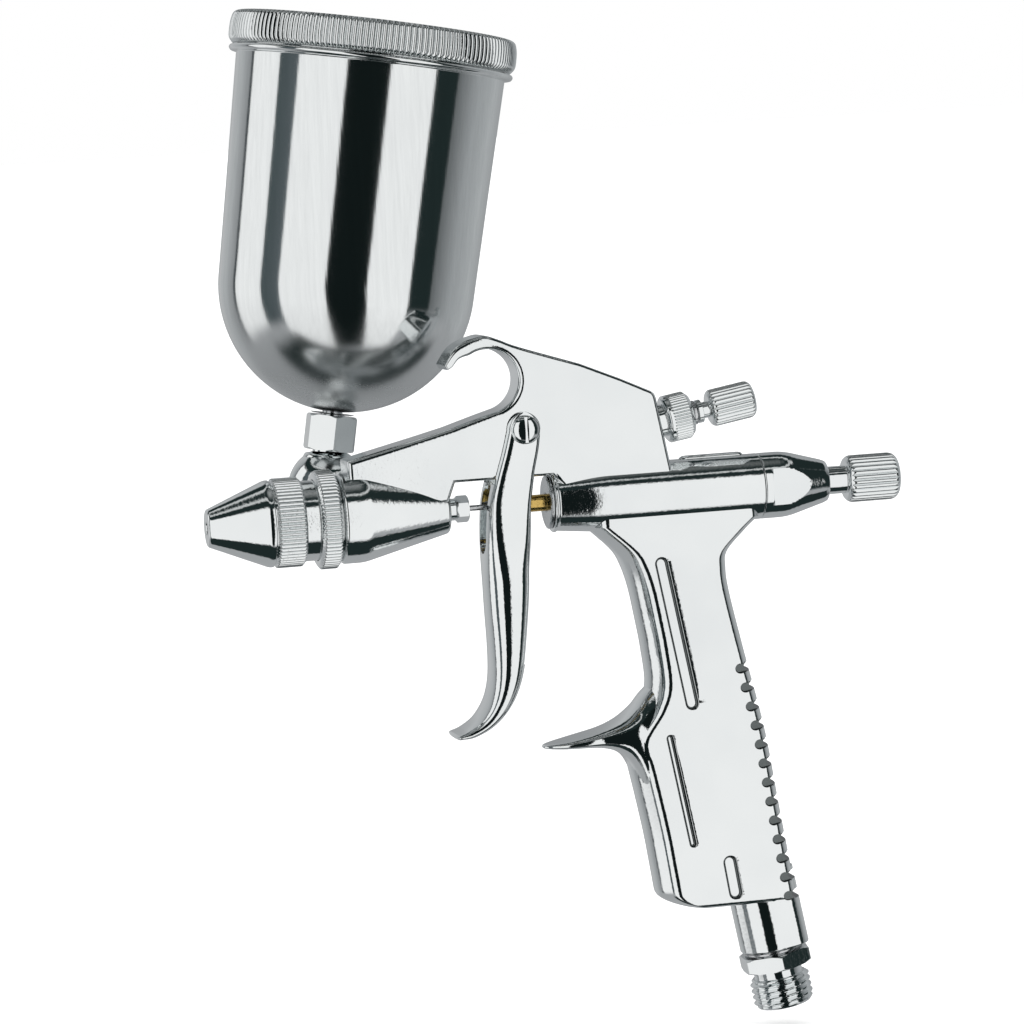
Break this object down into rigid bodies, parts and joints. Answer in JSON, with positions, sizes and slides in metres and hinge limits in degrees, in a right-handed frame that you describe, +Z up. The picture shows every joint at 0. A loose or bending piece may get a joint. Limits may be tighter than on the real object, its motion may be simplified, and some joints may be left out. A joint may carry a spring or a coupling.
{
  "type": "airbrush gun",
  "caption": "Metal spray gun with a side-fed paint cup, knurled lid, pull trigger, hanging hook, adjuster knobs and an air inlet under the grip.",
  "frame": {"origin": "crown of the hanging hook's inner arc, on the mid-plane of the body", "axes": "+X from the nozzle to the rear knob along the barrel, +Z up, +Y towards the side that carries the cup"},
  "size_m": [0.1512, 0.0712, 0.2216],
  "materials": {
    "polished_chrome": "mirror-polished chrome plate",
    "satin_chrome": "satin chrome plate",
    "bright_steel": "turned stainless steel",
    "valve_brass": "turned brass",
    "black_rubber": "matte rubber",
    "white_plastic": "matte seal plastic"
  },
  "bodies": {
    "gun": {"gun_body": "polished_chrome", "fluid_nozzle": "bright_steel", "needle_packing": "white_plastic", "needle_packing_nut": "polished_chrome", "air_valve_gland": "satin_chrome", "air_valve_spring": "bright_steel", "needle_spring": "bright_steel", "rear_guide": "polished_chrome", "air_adjust_gland": "polished_chrome", "trigger_pivot_stud": "polished_chrome", "trigger_pivot_screw": "polished_chrome", "inlet_fitting": "polished_chrome", "inlet_washer": "bright_steel", "side_inlet_joint": "polished_chrome", "side_seal_washer": "white_plastic", "side_coupling_nut": "polished_chrome"},
    "trigger": {"trigger": "polished_chrome"},
    "valve_stem": {"air_valve_stem": "valve_brass", "air_valve_seal": "black_rubber"},
    "needle": {"fluid_needle": "bright_steel", "needle_chuck": "bright_steel"},
    "needle_stop": {"needle_spring_seat": "bright_steel"},
    "needle_knob": {"needle_adjust_knob": "polished_chrome"},
    "air_stem": {"air_adjust_oring": "black_rubber", "air_adjust_snap_ring": "bright_steel"},
    "air_knob": {"air_adjust_knob": "polished_chrome"},
    "cap_seal": {"air_cap_seal": "white_plastic"},
    "cap": {"air_cap": "polished_chrome"},
    "lock_ring": {"lock_ring": "polished_chrome"},
    "cup_side": {"elbow": "satin_chrome", "cup_nut": "polished_chrome", "cup_spigot": "satin_chrome", "cup": "polished_chrome"},
    "lid_seal": {"lid_gasket": "white_plastic"},
    "lid": {"cup_lid": "polished_chrome"}
  },
  "joints": [
    {"name": "trigger_pull", "type": "hinge", "parent": "gun", "child": "trigger", "pos_m": [0.007, 0, -0.0174], "axis": [0, -1, 0], "range_deg": [0, 12], "stiffness_Nm_per_rad": 1.2, "springref_deg": -8.59},
    {"name": "valve_stem_push", "type": "slide", "parent": "gun", "child": "valve_stem", "axis": [1, 0, 0], "range_m": [0, 0.00345], "deforming": ["air_valve_spring"]},
    {"name": "needle_pull", "type": "slide", "parent": "gun", "child": "needle", "axis": [1, 0, 0], "range_m": [0, 0.00225], "deforming": ["needle_spring"]},
    {"name": "needle_stop_travel", "type": "slide", "parent": "gun", "child": "needle_stop", "axis": [1, 0, 0], "range_m": [-0.0016, 0.002]},
    {"name": "needle_knob_turn", "type": "hinge", "parent": "needle_stop", "child": "needle_knob", "pos_m": [0.0788, 0, -0.0337], "axis": [1, 0, 0], "range_deg": [-577, 721]},
    {"name": "air_stem_travel", "type": "slide", "parent": "gun", "child": "air_stem", "axis": [0.9863, 0, 0.165], "range_m": [0, 0.0025]},
    {"name": "air_knob_turn", "type": "hinge", "parent": "air_stem", "child": "air_knob", "pos_m": [0.0377, 0, -0.0182], "axis": [0.9863, 0, 0.165], "range_deg": [0, 901]},
    {"name": "air_cap_travel", "type": "slide", "parent": "gun", "child": "cap_seal", "axis": [1, 0, 0], "range_m": [-0.002, 0.001]},
    {"name": "air_cap_turn", "type": "hinge", "parent": "cap_seal", "child": "cap", "pos_m": [-0.0512, 0, -0.0337], "axis": [1, 0, 0], "range_deg": [-721, 361]},
    {"name": "lock_ring_turn", "type": "hinge", "parent": "gun", "child": "lock_ring", "pos_m": [-0.0362, 0, -0.0337], "axis": [1, 0, 0], "range_deg": [-180, 180]},
    {"name": "cup_swivel", "type": "hinge", "parent": "gun", "child": "cup_side", "pos_m": [-0.029, 0, -0.0337], "axis": [0, 1, 0], "range_deg": [-40, 10]},
    {"name": "lid_lift", "type": "slide", "parent": "cup_side", "child": "lid_seal", "axis": [0.1736, 0, 0.9848], "range_m": [0, 0.006]},
    {"name": "lid_turn", "type": "hinge", "parent": "lid_seal", "child": "lid", "pos_m": [-0.03136, 0.0295, -0.03328], "axis": [0.1736, 0, 0.9848], "range_deg": [0, 721]}
  ],
  "couplings": [
    {"joint": "valve_stem_push", "follows": "trigger_pull", "m_per_rad": 0.0163},
    {"joint": "needle_pull", "follows": "trigger_pull", "m_per_rad": 0.0105},
    {"joint": "needle_knob_turn", "follows": "needle_stop_travel", "rad_per_m": 6283.2},
    {"joint": "air_knob_turn", "follows": "air_stem_travel", "rad_per_m": 6283.2},
    {"joint": "air_cap_turn", "follows": "air_cap_travel", "rad_per_m": 6283.2},
    {"joint": "lid_turn", "follows": "lid_lift", "rad_per_m": 2094.4}
  ]
}
